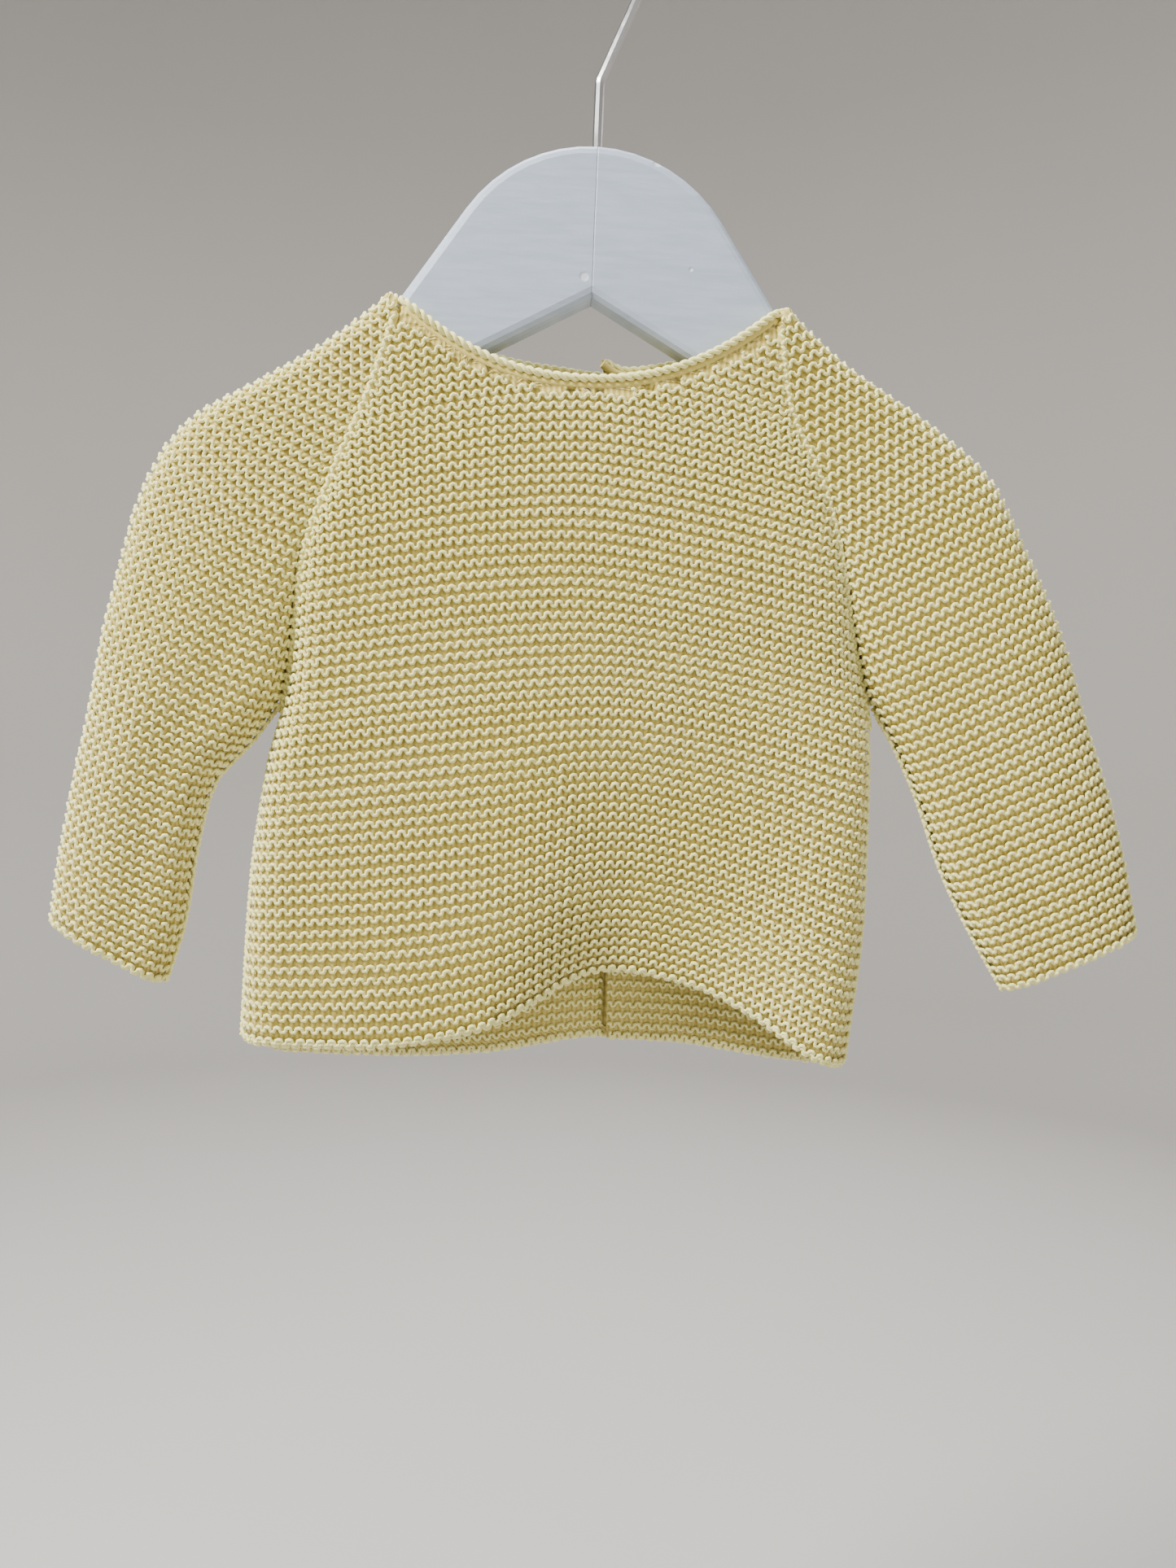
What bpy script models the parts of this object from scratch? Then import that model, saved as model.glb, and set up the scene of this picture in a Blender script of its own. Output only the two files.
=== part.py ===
# A newborn's raglan sweater in garter stitch, hanging on a flat wooden child's hanger.
# X runs to the viewer's right, Y away from the viewer and Z up. The origin lies under the
# hook's crown, where a rail bears. Sizes are in millimetres times MM, so the model is in metres.

import math
from collections import namedtuple

import bmesh
import bpy
import numpy as np
from mathutils import Vector

MM = 0.001

# ---- cloth
WALL = 2.0               # thickness of the knitted cloth
GAP = 0.3                # between pieces that meet at a seam
SEAM = GAP / 2           # each piece's share of that gap
CLOSED = 0.535           # share of the way from neck to hem at which the underarm lies
BODY_LENGTH = 260.0      # from neck to hem, about

# ---- hanger
BOARD_THICK = 12.0
BOARD_EDGE = 3.5         # rounding of the board's edges
BOARD_TOP = -87.0
HUMP_RADIUS = 54.0       # the board's round middle
FLANK_ANGLE = 56.0       # slope of the sides of the hump, in degrees
ARM_ANGLE = 29.0         # slope of the arms
ARM_DEPTH = 22.3         # of an arm, square to its slope
ARM_REACH = 122.0        # from the middle to the centre of an arm's round end
NOTCH_TOP = -139.5       # apex of the notch under the middle
ARM_FILLET = 25.0        # where the flank runs into the arm
HUMP_STEPS = 8           # on each half of the hump
FILLET_STEPS = 4
END_STEPS = 8            # round the end of an arm
EDGE_SEGMENTS = 3
SHARP_EDGE = 60.0        # the board's edges that turn by more than this are rounded, in degrees

WIRE = 1.7               # radius of the hook's wire
WIRE_SIDES = 8
BORE = 2.0               # radius of its hole in the board
BORE_SIDES = 12
BORE_DEPTH = 20.0
BORE_OVERSHOOT = 5.0     # of its cutter above the board
STEM_END = 18.0          # how far the stem reaches into the board
KINK = -63.3             # height at which the stem leans over
LEAN = 22.0              # lean of the wire above the kink, in degrees
HOOK_END = 200.0         # angle at which the crown ends, from +X over the top
KINK_RADIUS = 6.0
KINK_STEPS = 4
CROWN_STEPS = 26
SMOOTH_ANGLE = 40.0      # faces that meet at less than this are shaded as one, in degrees

# ---- the seam lines of body and sleeves, seen from the front: t runs from the neck (0) through the
# underarm (CLOSED) to hem and cuffs (1)
BODY_COLUMNS = "t left_x left_z right_x right_z"
BODY_SEAMS = [
    (0.000, -66.0, -146.0, 65.5, -143.0),
    (0.120, -75.0, -176.0, 70.0, -172.5),
    (0.240, -87.0, -205.5, 83.5, -199.5),
    (0.360, -96.5, -235.5, 92.5, -229.0),
    (0.450, -98.5, -260.0, 97.0, -251.5),
    (0.535, -101.5, -282.0, 103.0, -272.0),
    (0.620, -106.8, -304.0, 106.8, -296.5),
    (0.800, -112.0, -350.0, 107.5, -348.5),
    (1.000, -113.5, -402.0, 103.0, -406.0),
]
# how deep the tube stands: seam is the distance from the middle plane to the raglan seam, front and
# back how much further the panels stand out, turn the length over which they round away
DEPTH_COLUMNS = "t seam front back turn"
BODY_DEPTHS = [
    (0.000, 8.7, 0.5, 0.6, 14.0),
    (0.120, 8.7, 1.4, 1.8, 14.0),
    (0.240, 8.4, 3.0, 3.8, 14.0),
    (0.360, 6.8, 5.6, 6.8, 13.0),
    (0.450, 3.8, 9.0, 10.6, 12.0),
    (0.535, 0.0, 13.0, 15.0, 12.0),
    (0.620, 0.0, 13.5, 15.5, 12.0),
    (0.800, 0.0, 13.5, 16.0, 13.0),
    (1.000, 0.0, 12.5, 16.0, 13.0),
]
# the outer fold of each sleeve, and its inner fold from the underarm down
LINE_COLUMNS = "t x z"
LEFT_FOLD = [
    (0.000, -71.5, -143.0),
    (0.120, -93.0, -160.0),
    (0.240, -119.5, -176.3),
    (0.300, -133.0, -184.2),
    (0.360, -144.0, -195.5),
    (0.450, -154.6, -218.0),
    (0.535, -160.0, -241.0),
    (0.620, -164.8, -262.5),
    (0.700, -168.0, -284.0),
    (0.800, -172.8, -310.0),
    (0.900, -177.2, -336.5),
    (1.000, -180.5, -363.0),
]
LEFT_INNER = [
    (0.535, -101.5, -282.0),
    (0.620, -113.0, -299.0),
    (0.700, -125.0, -313.0),
    (0.800, -130.5, -337.0),
    (0.900, -133.6, -361.0),
    (1.000, -140.0, -384.0),
]
RIGHT_FOLD = [
    (0.000, 71.0, -140.5),
    (0.120, 92.0, -157.5),
    (0.240, 120.0, -174.5),
    (0.360, 145.4, -194.0),
    (0.450, 157.8, -215.0),
    (0.535, 168.7, -235.5),
    (0.620, 177.8, -256.5),
    (0.700, 184.5, -277.5),
    (0.800, 194.2, -302.5),
    (0.900, 202.4, -329.0),
    (1.000, 208.5, -355.0),
]
RIGHT_INNER = [
    (0.535, 103.0, -272.0),
    (0.620, 115.0, -290.5),
    (0.700, 124.4, -309.0),
    (0.800, 134.0, -333.5),
    (0.900, 146.0, -356.0),
    (1.000, 160.0, -378.0),
]
# half depth of a sleeve, the part of it that rounds over at the fold, the lengths over which fold
# and inner edge round, and how far the light-catching fold stands proud of the front
TUBE_COLUMNS = "t half round fold_turn inner_turn crease"
SLEEVE_DEPTHS = [
    (0.000, 8.7, 6.0, 6.0, 3.0, 0.0),
    (0.120, 8.7, 6.0, 6.0, 8.0, 0.0),
    (0.240, 8.9, 6.5, 6.5, 10.0, 0.3),
    (0.360, 10.5, 8.7, 10.0, 11.0, 1.0),
    (0.450, 11.5, 10.5, 13.0, 12.0, 1.8),
    (0.535, 12.0, 11.0, 14.0, 12.0, 2.2),
    (0.620, 12.0, 11.0, 15.0, 12.0, 2.6),
    (0.800, 11.0, 10.0, 14.0, 11.0, 2.4),
    (1.000, 9.0, 8.0, 12.0, 10.0, 1.5),
]
CREASE_AT = 0.58         # place of that fold, from inner edge (0) to outer fold (1)
CREASE_WIDTH = 0.20
FOLD_TURN_LIMIT = 0.55   # most that each rounding may take of a narrow sleeve's width
INNER_TURN_LIMIT = 0.40

# the front hem: across runs from the left side seam (-1) to the right one (1); lift is how far the
# hem rises there and out how far the cloth stands forward
HEM_COLUMNS = "across lift out"
FRONT_HEM = [
    (-1.00, 0.0, 0.0),
    (-0.75, 0.8, 3.5),
    (-0.51, 2.5, 5.5),
    (-0.23, 8.5, 3.0),
    (-0.04, 18.0, -4.0),
    (0.10, 27.0, -10.5),
    (0.22, 29.0, -13.5),
    (0.37, 27.0, -14.0),
    (0.53, 23.0, -10.5),
    (0.70, 14.5, -2.5),
    (0.86, 4.0, 3.0),
    (1.00, 0.0, 0.0),
]
BACK_HEM = [
    (-1.00, 0.0, 0.0),
    (-0.90, -9.0, 1.0),
    (-0.60, -9.5, 3.0),
    (-0.20, -6.0, 1.0),
    (0.15, 0.5, 4.0),
    (0.45, 0.0, 6.0),
    (0.75, -3.0, 2.5),
    (0.92, -4.0, 0.5),
    (1.00, 0.0, 0.0),
]
FOLD_START = 0.40        # share of the way down at which the hem's folds begin
FOLD_POWER = 1.7
BACK_FOLD_START = 0.55

NECK_SAG = 26.0          # of the front neck below its corners
BACK_NECK_SAG = 18.5
NECK_POWER = 2.2
SAG_END = 0.22           # share of the way down at which the courses are straight again

# ---- the opening down the middle of the back
PLACKET_TOP = 4.0        # x of the inner layer's edge at the neck
PLACKET_HEM = 17.0       # and at the hem
PLACKET_WIDTH = 20.0     # how far the outer layer laps over it
PLACKET_START = 14.0     # where the outer layer starts to step out, before that edge
PLACKET_STEP = 12.0      # length over which it does
PLACKET_LIFT = WALL + GAP + 0.5
PLACKET_NECK_LIFT = 1.7  # more at the neck, where the chains lie one behind the other
PLACKET_NECK_END = 0.15
CORNER_RISE = 4.5        # the inner layer's top corner turns up
CORNER_CURL = 3.0        # and forward
CORNER_REACH = 9.0       # within this distance of the edge
CORNER_POWER = 1.5       # how fast it dies out across
CORNER_DOWN_POWER = 3    # and down the cloth

EDGING = 1.9             # radius of the chain round the neck
EDGING_CLEAR = 0.7       # from the rims to the chain
EDGING_INSET = 0.5       # from the cloth's outer face in to its centre line
EDGING_STEP = 3.6       # between the points of its route
NECK_ORDER = [           # the pieces whose top rims it follows, and which of them backwards
    ("back_right", True), ("sleeve_right", True), ("front", True),
    ("sleeve_left", False), ("back_left", False),
]
BUTTON_COUNT = 4
BUTTON_RADIUS = 5.5
BUTTON_THICK = 2.4
BUTTON_SEAT = GAP + 0.2  # from the cloth to the button's underside
BUTTON_FIRST = 0.10      # shares of the way down of the first and last button
BUTTON_LAST = 0.90
# its profile, from the middle of the underside to the middle of the dished face
BUTTON_PROFILE = [       # radius, height
    (0.0, 0.0),
    (BUTTON_RADIUS - 0.8, 0.0),
    (BUTTON_RADIUS, 0.9),
    (BUTTON_RADIUS, 1.6),
    (BUTTON_RADIUS - 0.7, BUTTON_THICK),
    (BUTTON_RADIUS - 1.7, BUTTON_THICK),
    (BUTTON_RADIUS - 2.3, BUTTON_THICK - 0.7),
    (0.0, BUTTON_THICK - 0.7),
]
BUTTON_SIDES = 20

# ---- how finely the cloth is divided
CAP_ROWS = 13            # courses of faces from neck to underarm
LOWER_ROWS = 12          # and from there to hem or cuff
TURN_STEPS = 4           # faces round an edge
BODY_STEPS = 21          # across the front
BACK_STEPS = 11          # across each half of the back
SLEEVE_STEPS = 4         # across each side of a sleeve


class Table:
    """Rows of named sizes, read along smooth curves that never overshoot a row."""

    def __init__(self, columns, rows):
        self.row = namedtuple("Row", columns.split()[1:])
        self.keys = np.array([row[0] for row in rows])
        self.values = np.array([row[1:] for row in rows])
        step = np.diff(self.keys)[:, None]
        slope = np.diff(self.values, axis=0) / step
        tangent = np.zeros_like(self.values)
        same_way = slope[:-1] * slope[1:] > 0
        mean = 2 * slope[:-1] * slope[1:] / np.where(same_way, slope[:-1] + slope[1:], 1)
        tangent[1:-1] = np.where(same_way, mean, 0)
        tangent[0], tangent[-1] = slope[0], slope[-1]
        self.tangent = tangent

    def at(self, key):
        """The columns' values at a key, by name and in their order."""
        last = len(self.keys) - 2
        k = int(np.clip(np.searchsorted(self.keys, key) - 1, 0, last))
        step = self.keys[k + 1] - self.keys[k]
        u = np.clip((key - self.keys[k]) / step, 0, 1)
        rise = u * u * (3 - 2 * u)
        return self.row(*(self.values[k] * (1 - rise) + self.values[k + 1] * rise
                          + self.tangent[k] * step * u * (1 - u) ** 2
                          - self.tangent[k + 1] * step * u * u * (1 - u)))


BODY = Table(BODY_COLUMNS, BODY_SEAMS)
BODY_DEPTH = Table(DEPTH_COLUMNS, BODY_DEPTHS)
TUBE = Table(TUBE_COLUMNS, SLEEVE_DEPTHS)
FOLDS = {"left": Table(LINE_COLUMNS, LEFT_FOLD), "right": Table(LINE_COLUMNS, RIGHT_FOLD)}
INNERS = {"left": Table(LINE_COLUMNS, LEFT_INNER), "right": Table(LINE_COLUMNS, RIGHT_INNER)}
FRONT_FOLDS = Table(HEM_COLUMNS, FRONT_HEM)
BACK_FOLDS = Table(HEM_COLUMNS, BACK_HEM)


def smoothstep(value):
    u = min(max(value, 0.0), 1.0)
    return u * u * (3 - 2 * u)


def rounded(distance, turn):
    """How far an edge has rounded out at a distance from it: 0 at the edge, 1 past the turn."""
    u = min(max(distance / turn, 0.0), 1.0)
    return math.sqrt(1 - (1 - u) ** 2)


def turned_steps(turn, steps):
    """Distances from an edge that divide its rounding evenly, without the edge itself."""
    return [turn * (1 - math.cos(math.radians(90) * k / steps)) for k in range(1, steps + 1)]


def rows_down():
    cap = [CLOSED * k / CAP_ROWS for k in range(CAP_ROWS)]
    lower = [CLOSED + (1 - CLOSED) * k / LOWER_ROWS for k in range(LOWER_ROWS + 1)]
    return cap + lower


# ---- body panels

def body_point(x, t, side):
    """A point of the outer surface at x on the course t; side is -1 for the front, 1 for the back."""
    left_x, left_z, right_x, right_z = BODY.at(t)
    seam, front, back, turn = BODY_DEPTH.at(t)
    share = (x - left_x) / (right_x - left_x)
    across = 2 * share - 1
    edge = min(x - left_x, right_x - x) - SEAM
    is_front = side < 0
    stand = front if is_front else back
    folds = FRONT_FOLDS if is_front else BACK_FOLDS
    start = FOLD_START if is_front else BACK_FOLD_START
    lift, out = folds.at(across)
    growth = max((t - start) / (1 - start), 0) ** FOLD_POWER
    sag = NECK_SAG if is_front else BACK_NECK_SAG
    dip = sag * (1 - abs(across) ** NECK_POWER) * max(1 - t / SAG_END, 0) ** 2
    depth = seam + SEAM + (stand + out * growth) * rounded(edge, turn)
    z = left_z + (right_z - left_z) * share + lift * growth - dip
    return np.array([x, side * depth, z])


def placket_edge(t):
    return PLACKET_TOP + (PLACKET_HEM - PLACKET_TOP) * t


def outer_layer_point(x, t):
    """A point of the back's left half, which steps out to lap over the right half."""
    point = body_point(x, t, 1)
    step = smoothstep((x - placket_edge(t) + PLACKET_START) / PLACKET_STEP)
    point[1] += (PLACKET_LIFT + PLACKET_NECK_LIFT * max(1 - t / PLACKET_NECK_END, 0)) * step
    return point


def inner_layer_point(x, t):
    """A point of the back's right half, whose top corner turns up and forward."""
    point = body_point(x, t, 1)
    turn_up = max(1 - (x - placket_edge(t)) / CORNER_REACH, 0) ** CORNER_POWER
    turn_up *= max(1 - t / SAG_END, 0) ** CORNER_DOWN_POWER
    point[1] -= CORNER_CURL * turn_up
    point[2] += CORNER_RISE * turn_up
    return point


def front_grid():
    grid = []
    for t in rows_down():
        left_x, _, right_x, _ = BODY.at(t)
        turn = BODY_DEPTH.at(t).turn
        width = right_x - left_x - 2 * SEAM
        near = [0.0] + turned_steps(turn, TURN_STEPS)
        middle = [turn + (width - 2 * turn) * k / BODY_STEPS for k in range(1, BODY_STEPS)]
        far = [width - d for d in reversed(near)]
        grid.append([body_point(left_x + SEAM + d, t, -1) for d in near + middle + far])
    return np.array(grid)


def back_grid(half):
    """Half of the back, from its side seam to its edge at the opening."""
    grid = []
    for t in rows_down():
        left_x, _, right_x, _ = BODY.at(t)
        turn = BODY_DEPTH.at(t).turn
        inner_edge = placket_edge(t)
        if half == "left":
            width = inner_edge + PLACKET_WIDTH - left_x - SEAM
        else:
            width = right_x - inner_edge - SEAM
        steps = [0.0] + turned_steps(turn, TURN_STEPS)
        steps += [turn + (width - turn) * k / BACK_STEPS for k in range(1, BACK_STEPS + 1)]
        if half == "left":
            grid.append([outer_layer_point(left_x + SEAM + d, t) for d in steps])
        else:
            grid.append([inner_layer_point(right_x - SEAM - d, t) for d in steps])
    return np.array(grid)


# ---- sleeves

def sleeve_inner(side, t):
    """A sleeve's inner edge: the body's seam line down to the underarm, its own fold below."""
    if t > CLOSED:
        return INNERS[side].at(t)
    body = BODY.at(t)
    return (body.left_x, body.left_z) if side == "left" else (body.right_x, body.right_z)


def sleeve_row(side, t):
    """One ring of a sleeve: up the front from the seam, over the fold and down the back."""
    seam = BODY_DEPTH.at(t).seam
    half, round_part, fold_turn, inner_turn, crease = TUBE.at(t)
    inner = Vector(sleeve_inner(side, t))
    reach = Vector(FOLDS[side].at(t)) - inner
    length = reach.length
    ahead = reach.normalized()
    fold_turn = min(fold_turn, FOLD_TURN_LIMIT * length)
    inner_turn = min(inner_turn, INNER_TURN_LIMIT * length)
    flat = length - fold_turn - inner_turn
    near = [SEAM] + turned_steps(inner_turn, TURN_STEPS)
    middle = [inner_turn + flat * k / SLEEVE_STEPS for k in range(1, SLEEVE_STEPS)]
    far = [length - d for d in reversed([0.0] + turned_steps(fold_turn, TURN_STEPS))]
    front, back = [], []
    for d in near + middle + far:
        from_seam = seam + (half - seam) * rounded(d - SEAM, inner_turn)
        to_fold = 1 - round_part / half * (1 - rounded(length - d, fold_turn))
        depth = max(from_seam * to_fold, SEAM)
        bump = crease * math.exp(-((d / length - CREASE_AT) / CREASE_WIDTH) ** 2)
        bump *= rounded(d, inner_turn) * rounded(length - d, fold_turn)
        spot = inner + ahead * d
        front.append((spot.x, -depth - bump, spot.y))
        back.append((spot.x, depth, spot.y))
    return front + back[::-1]


def sleeve_grid(side):
    return np.array([sleeve_row(side, t) for t in rows_down()])


# ---- from rings and rows to closed walls

def outward(grid, turned_over):
    """The outward direction at every point of a grid, whose rows run round the garment."""
    normal = np.cross(np.gradient(grid, axis=1), np.gradient(grid, axis=0))
    normal /= np.linalg.norm(normal, axis=2, keepdims=True)
    return -normal if turned_over else normal


def cloth(name, grid, turned_over, material):
    """A closed wall: a grid of outer points, the same points moved in, and a rim between them."""
    inner = grid - outward(grid, turned_over) * WALL
    # along a closed side seam the two walls' rims lie side by side, square to the middle plane
    for column in (0, -1):
        closed = np.abs(grid[:, column, 1]) < SEAM + GAP
        inner[closed, column, 1] = grid[closed, column, 1]
    count_down, count_along = grid.shape[:2]
    size = count_down * count_along
    points = np.concatenate([grid.reshape(-1, 3), inner.reshape(-1, 3)]) * MM

    def outer_at(i, j):
        return i * count_along + j

    faces = []
    for i in range(count_down - 1):
        for j in range(count_along - 1):
            a, b = outer_at(i, j), outer_at(i, j + 1)
            c, d = outer_at(i + 1, j + 1), outer_at(i + 1, j)
            faces.append((a, b, c, d))
            faces.append((size + d, size + c, size + b, size + a))
    rim = [outer_at(0, j) for j in range(count_along)]
    rim += [outer_at(i, count_along - 1) for i in range(1, count_down)]
    rim += [outer_at(count_down - 1, j) for j in range(count_along - 2, -1, -1)]
    rim += [outer_at(i, 0) for i in range(count_down - 2, 0, -1)]
    for k, a in enumerate(rim):
        b = rim[(k + 1) % len(rim)]
        faces.append((b, a, size + a, size + b))
    return solid(name, points, faces, material)


def solid(name, points, faces, material):
    mesh = bpy.data.meshes.new(name)
    mesh.from_pydata([tuple(p) for p in points], [], faces)
    shape = bmesh.new()
    shape.from_mesh(mesh)
    bmesh.ops.recalc_face_normals(shape, faces=shape.faces)
    shape.to_mesh(mesh)
    shape.free()
    mesh.shade_smooth()
    mesh.set_sharp_from_angle(angle=math.radians(SMOOTH_ANGLE))
    mesh.materials.append(material)
    thing = bpy.data.objects.new(name, mesh)
    bpy.context.scene.collection.objects.link(thing)
    return thing


def surface_material(name, color, roughness, metallic=0.0):
    material = bpy.data.materials.new(name)
    material.use_nodes = True
    shader = material.node_tree.nodes["Principled BSDF"]
    shader.inputs["Base Color"].default_value = (*color, 1.0)
    shader.inputs["Roughness"].default_value = roughness
    shader.inputs["Metallic"].default_value = metallic
    return material


# ---- hanger

def board_outline():
    """The board's outline in XZ, from the top of the hump round the right arm, then mirrored."""
    flank = math.radians(FLANK_ANGLE)
    arm = math.radians(ARM_ANGLE)
    hump_z = BOARD_TOP - HUMP_RADIUS
    half = []
    for k in range(HUMP_STEPS + 1):
        angle = flank * k / HUMP_STEPS
        half.append((HUMP_RADIUS * math.sin(angle), hump_z + HUMP_RADIUS * math.cos(angle)))
    # the arm's top line, where it meets the flank's line, and the fillet between them
    top_at_middle = NOTCH_TOP + ARM_DEPTH / math.cos(arm)
    start_x, start_z = half[-1]
    corner_x = (start_z + math.tan(flank) * start_x - top_at_middle) / (math.tan(flank) - math.tan(arm))
    corner_z = top_at_middle - math.tan(arm) * corner_x
    tangent = ARM_FILLET * math.tan((flank - arm) / 2)
    centre_x = corner_x + tangent * math.cos(arm) + ARM_FILLET * math.sin(arm)
    centre_z = corner_z - tangent * math.sin(arm) + ARM_FILLET * math.cos(arm)
    for k in range(FILLET_STEPS + 1):
        angle = flank + (arm - flank) * k / FILLET_STEPS
        half.append((centre_x - ARM_FILLET * math.sin(angle), centre_z - ARM_FILLET * math.cos(angle)))
    # the round end of the arm
    radius = ARM_DEPTH / 2
    end_z = NOTCH_TOP + radius / math.cos(arm) - math.tan(arm) * ARM_REACH
    for k in range(END_STEPS + 1):
        angle = math.pi / 2 - arm - math.pi * k / END_STEPS
        half.append((ARM_REACH + radius * math.cos(angle), end_z + radius * math.sin(angle)))
    half.append((0.0, NOTCH_TOP))
    return half + [(-x, z) for x, z in reversed(half[1:-1])]


def build_board(material):
    outline = board_outline()
    count = len(outline)
    front, back = -BOARD_THICK / 2, BOARD_THICK / 2
    points = [(x * MM, front * MM, z * MM) for x, z in outline]
    points += [(x * MM, back * MM, z * MM) for x, z in outline]
    faces = [tuple(range(count)), tuple(range(2 * count - 1, count - 1, -1))]
    faces += [(k, count + k, count + (k + 1) % count, (k + 1) % count) for k in range(count)]
    board = solid("hanger_board", points, faces, material)
    edges = board.modifiers.new("rounded edges", "BEVEL")
    edges.width = BOARD_EDGE * MM
    edges.segments = EDGE_SEGMENTS
    edges.limit_method = "ANGLE"
    edges.angle_limit = math.radians(SHARP_EDGE)
    bottom, top = BOARD_TOP - BORE_DEPTH, BOARD_TOP + BORE_OVERSHOOT
    profile = [(0.0, bottom), (BORE, bottom), (BORE, top), (0.0, top)]
    bore = turned("hook_bore", profile, BORE_SIDES, material)
    bore.hide_render = True
    bore.display_type = "WIRE"
    cut = board.modifiers.new("hole for the hook", "BOOLEAN")
    cut.operation = "DIFFERENCE"
    cut.object = bore
    return board


def turned(name, profile, sides, material):
    """A solid turned about Z from its profile of radius and height, which starts and ends on the axis."""
    points = []
    rings = []
    for radius, height in profile:
        if radius == 0:
            rings.append([len(points)])
            points.append((0.0, 0.0, height * MM))
            continue
        rings.append([len(points) + k for k in range(sides)])
        for k in range(sides):
            angle = 2 * math.pi * k / sides
            points.append((radius * math.cos(angle) * MM, radius * math.sin(angle) * MM, height * MM))
    faces = []
    for lower, upper in zip(rings, rings[1:]):
        for k in range(sides):
            n = (k + 1) % sides
            ring = [lower[k % len(lower)], lower[n % len(lower)], upper[n % len(upper)], upper[k % len(upper)]]
            faces.append(tuple(dict.fromkeys(ring)))
    return solid(name, points, faces, material)


def hook_route():
    """The wire's centre line, from inside the board to the open end of the crown."""
    lean = math.radians(LEAN)
    rise = WIRE - KINK
    radius = rise * math.sin(lean) / (1 + math.sin(lean))
    crown_z = WIRE - radius
    back_off = KINK_RADIUS * math.tan(lean / 2)
    route = [(0.0, BOARD_TOP - STEM_END), (0.0, BOARD_TOP), (0.0, KINK - back_off)]
    for k in range(1, KINK_STEPS + 1):
        angle = lean * k / KINK_STEPS
        route.append((KINK_RADIUS * (1 - math.cos(angle)), KINK - back_off + KINK_RADIUS * math.sin(angle)))
    end = math.radians(HOOK_END)
    for k in range(CROWN_STEPS + 1):
        angle = -lean + (end + lean) * k / CROWN_STEPS
        route.append((radius * math.cos(angle), crown_z + radius * math.sin(angle)))
    return [(x, 0.0, z) for x, z in route]


def wire(name, route, radius, material):
    curve = bpy.data.curves.new(name, "CURVE")
    curve.dimensions = "3D"
    spline = curve.splines.new("POLY")
    spline.points.add(len(route) - 1)
    for point, spot in zip(spline.points, route):
        point.co = (*(c * MM for c in spot), 1.0)
    curve.bevel_depth = radius * MM
    curve.bevel_resolution = WIRE_SIDES // 4
    curve.use_fill_caps = True
    curve.materials.append(material)
    thing = bpy.data.objects.new(name, curve)
    bpy.context.scene.collection.objects.link(thing)
    return thing


# ---- the neck's chain and the buttons

def neck_route(pieces):
    """The chain's centre line above the top rims, from the inner back corner round to the outer one."""
    spots = []
    for name, backwards in NECK_ORDER:
        grid, turned_over = pieces[name]
        up = grid[0] - grid[1]
        up /= np.linalg.norm(up, axis=1, keepdims=True)
        rim = grid[0] - outward(grid, turned_over)[0] * EDGING_INSET + up * (EDGING + EDGING_CLEAR)
        spots.append(rim[::-1] if backwards else rim)
    spots = np.concatenate(spots)
    run = np.concatenate([[0.0], np.cumsum(np.linalg.norm(np.diff(spots, axis=0), axis=1))])
    even = np.linspace(0.0, run[-1], round(run[-1] / EDGING_STEP) + 1)
    return np.stack([np.interp(even, run, spots[:, k]) for k in range(3)], axis=1)


def build_buttons(material):
    """Buttons on the outer layer of the back opening, each square to the cloth under it."""
    for number in range(BUTTON_COUNT):
        t = BUTTON_FIRST + (BUTTON_LAST - BUTTON_FIRST) * number / (BUTTON_COUNT - 1)
        x = placket_edge(t) + PLACKET_WIDTH / 2
        spot = outer_layer_point(x, t)
        along = outer_layer_point(x + BUTTON_RADIUS, t) - outer_layer_point(x - BUTTON_RADIUS, t)
        share = BUTTON_RADIUS / BODY_LENGTH
        down = outer_layer_point(x, t + share) - outer_layer_point(x, t - share)
        facing = np.cross(along, down)
        facing /= np.linalg.norm(facing)
        button = turned("button_%d" % (number + 1), BUTTON_PROFILE, BUTTON_SIDES, material)
        button.rotation_mode = "QUATERNION"
        button.rotation_quaternion = Vector(facing).to_track_quat("Z", "X")
        button.location = Vector(spot + facing * BUTTON_SEAT) * MM


def main():
    for thing in list(bpy.data.objects):
        bpy.data.objects.remove(thing, do_unlink=True)

    cotton = surface_material("pale yellow cotton", (0.80, 0.74, 0.42), 0.9)
    paint = surface_material("white painted wood", (0.72, 0.75, 0.80), 0.45)
    chrome = surface_material("chromed wire", (0.72, 0.72, 0.74), 0.12, 1.0)
    pearl = surface_material("pale yellow button", (0.83, 0.80, 0.58), 0.3)

    pieces = {
        "front": (front_grid(), True),
        "back_left": (back_grid("left"), False),
        "back_right": (back_grid("right"), True),
        "sleeve_left": (sleeve_grid("left"), False),
        "sleeve_right": (sleeve_grid("right"), True),
    }
    for name, (grid, turned_over) in pieces.items():
        cloth(name, grid, turned_over, cotton)
    wire("neck_edging", neck_route(pieces), EDGING, cotton)
    build_buttons(pearl)
    build_board(paint)
    wire("hanger_hook", hook_route(), WIRE, chrome)


main()
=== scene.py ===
# Looks of a newborn's garter-stitch raglan sweater on a flat wooden hanger, built round the packed
# model. Sizes are millimetres times mm, so that everything is in metres, as the frame is.

import math

import bmesh
import bpy
import numpy as np
from mathutils import Matrix, Vector
from mathutils.bvhtree import BVHTree


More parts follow.
